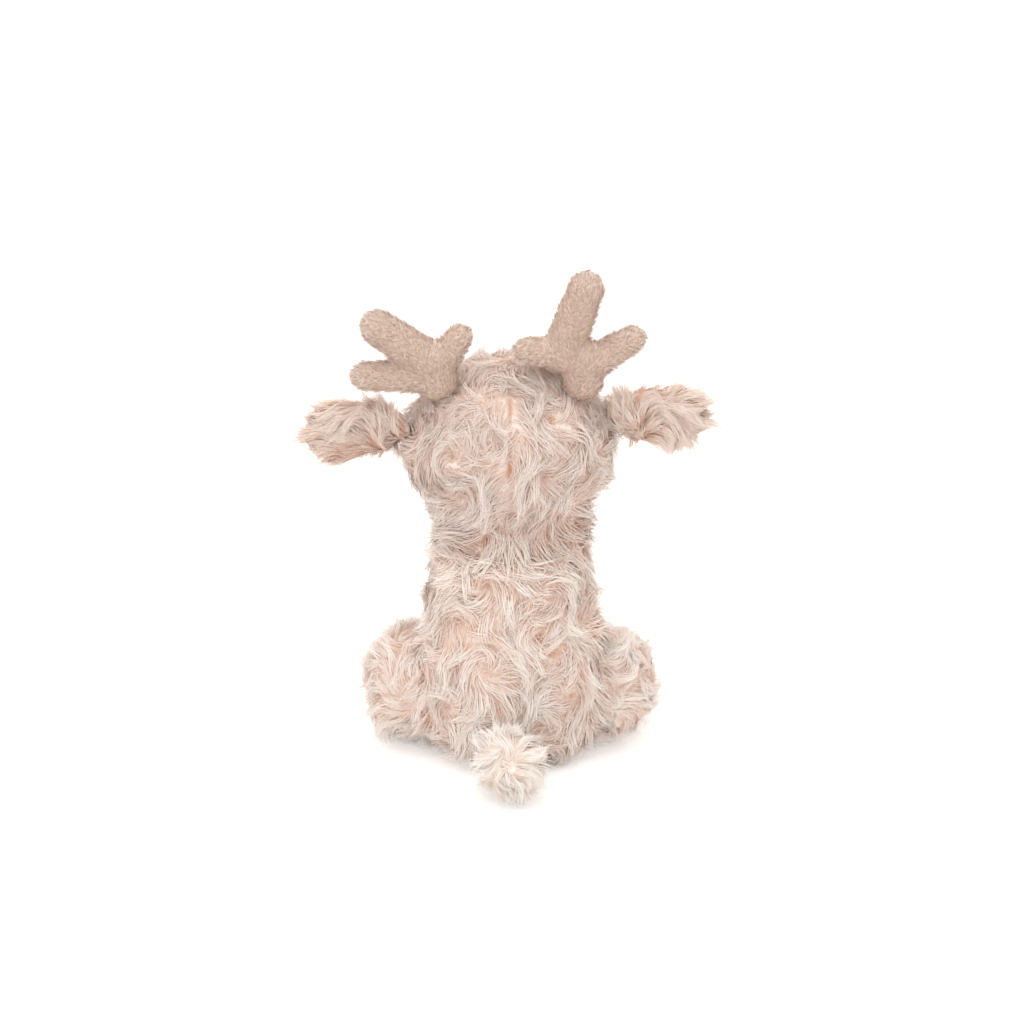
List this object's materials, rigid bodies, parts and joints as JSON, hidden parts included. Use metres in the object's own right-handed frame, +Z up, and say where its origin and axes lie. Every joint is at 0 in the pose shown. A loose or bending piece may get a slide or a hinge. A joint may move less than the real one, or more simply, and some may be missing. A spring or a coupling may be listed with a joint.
{
  "type": "plush deer",
  "caption": "Seated plush deer with curled cream pile, stuffed velour antlers, sideways ears and a round tail; head, ears, antlers, legs and tail bend at their seams.",
  "frame": {"origin": "on the ground, in the middle of the toy's outline", "axes": "+Z up, the face looks along -Y, the toy's left side is +X"},
  "size_m": [0.168, 0.1352, 0.2148],
  "materials": {
    "cream_fur": "long curled pile, matt",
    "taupe_velour": "short velour pile",
    "ear_velour": "short velour pile",
    "polyester_stuffing": "loose white fibre",
    "calico_bag": "plain woven cotton",
    "sewing_thread": "matt thread",
    "nose_thread": "satin stitch",
    "black_bead": "high gloss",
    "white_washer": "as moulded"
  },
  "bodies": {
    "torso": {"torso_skin": "cream_fur", "torso_stuffing": "polyester_stuffing", "pellet_bag": "calico_bag"},
    "neck": {"neck_stitching": "sewing_thread"},
    "head": {"head_skin": "cream_fur", "head_stuffing": "polyester_stuffing", "muzzle": "taupe_velour", "nose": "nose_thread", "eye_left": "black_bead", "eye_right": "black_bead", "eye_washer_left": "white_washer", "eye_washer_right": "white_washer"},
    "ear_left": {"ear_back_left": "cream_fur", "ear_lining_left": "ear_velour"},
    "antler_left": {"antler_skin_left": "taupe_velour", "antler_stuffing_left": "polyester_stuffing"},
    "foreleg_left": {"foreleg_skin_left": "cream_fur", "foreleg_stuffing_left": "polyester_stuffing", "front_hoof_left": "taupe_velour"},
    "hind_leg_left": {"hind_leg_skin_left": "cream_fur", "hind_leg_stuffing_left": "polyester_stuffing", "hind_hoof_left": "taupe_velour"},
    "ear_right": {"ear_back_right": "cream_fur", "ear_lining_right": "ear_velour"},
    "antler_right": {"antler_skin_right": "taupe_velour", "antler_stuffing_right": "polyester_stuffing"},
    "foreleg_right": {"foreleg_skin_right": "cream_fur", "foreleg_stuffing_right": "polyester_stuffing", "front_hoof_right": "taupe_velour"},
    "hind_leg_right": {"hind_leg_skin_right": "cream_fur", "hind_leg_stuffing_right": "polyester_stuffing", "hind_hoof_right": "taupe_velour"},
    "tail": {"tail_skin": "cream_fur", "tail_stuffing": "polyester_stuffing"}
  },
  "joints": [
    {"name": "head_turn", "type": "hinge", "parent": "torso", "child": "neck", "pos_m": [0, -0.0035, 0.0982], "axis": [0, 0, 1], "range_deg": [-30, 30], "stiffness_Nm_per_rad": 0.8},
    {"name": "head_nod", "type": "hinge", "parent": "neck", "child": "head", "pos_m": [0, -0.0035, 0.0982], "axis": [1, 0, 0], "range_deg": [-12, 12], "stiffness_Nm_per_rad": 1.2},
    {"name": "ear_flop_left", "type": "hinge", "parent": "head", "child": "ear_left", "pos_m": [0.04581, -0.00325, 0.14436], "axis": [0, -1, 0], "range_deg": [-25, 5], "stiffness_Nm_per_rad": 0.05},
    {"name": "ear_flop_right", "type": "hinge", "parent": "head", "child": "ear_right", "pos_m": [-0.04356, -0.00325, 0.15053], "axis": [0, 1, 0], "range_deg": [-25, 8], "stiffness_Nm_per_rad": 0.05},
    {"name": "antler_bend_left", "type": "hinge", "parent": "head", "child": "antler_left", "pos_m": [0.02956, 0.00692, 0.16753], "axis": [0, 1, 0], "range_deg": [-25, 3], "stiffness_Nm_per_rad": 0.15},
    {"name": "antler_bend_right", "type": "hinge", "parent": "head", "child": "antler_right", "pos_m": [-0.02956, 0.00692, 0.16753], "axis": [0, -1, 0], "range_deg": [-4, 12], "stiffness_Nm_per_rad": 0.15},
    {"name": "foreleg_swing_left", "type": "hinge", "parent": "torso", "child": "foreleg_left", "pos_m": [0.02, -0.03723, 0.06601], "axis": [-1, 0, 0], "range_deg": [0, 50], "stiffness_Nm_per_rad": 0.1},
    {"name": "foreleg_swing_right", "type": "hinge", "parent": "torso", "child": "foreleg_right", "pos_m": [-0.02, -0.03723, 0.06601], "axis": [-1, 0, 0], "range_deg": [0, 50], "stiffness_Nm_per_rad": 0.1},
    {"name": "hind_leg_splay_left", "type": "hinge", "parent": "torso", "child": "hind_leg_left", "pos_m": [0.038, -0.0085, 0.0255], "axis": [0, 0, 1], "range_deg": [0, 20], "stiffness_Nm_per_rad": 0.4},
    {"name": "hind_leg_splay_right", "type": "hinge", "parent": "torso", "child": "hind_leg_right", "pos_m": [-0.038, -0.0085, 0.0255], "axis": [0, 0, -1], "range_deg": [0, 20], "stiffness_Nm_per_rad": 0.4},
    {"name": "tail_wag", "type": "hinge", "parent": "torso", "child": "tail", "pos_m": [0, 0.03727, 0.0168], "axis": [0, 0, 1], "range_deg": [-15, 15], "stiffness_Nm_per_rad": 0.06}
  ]
}
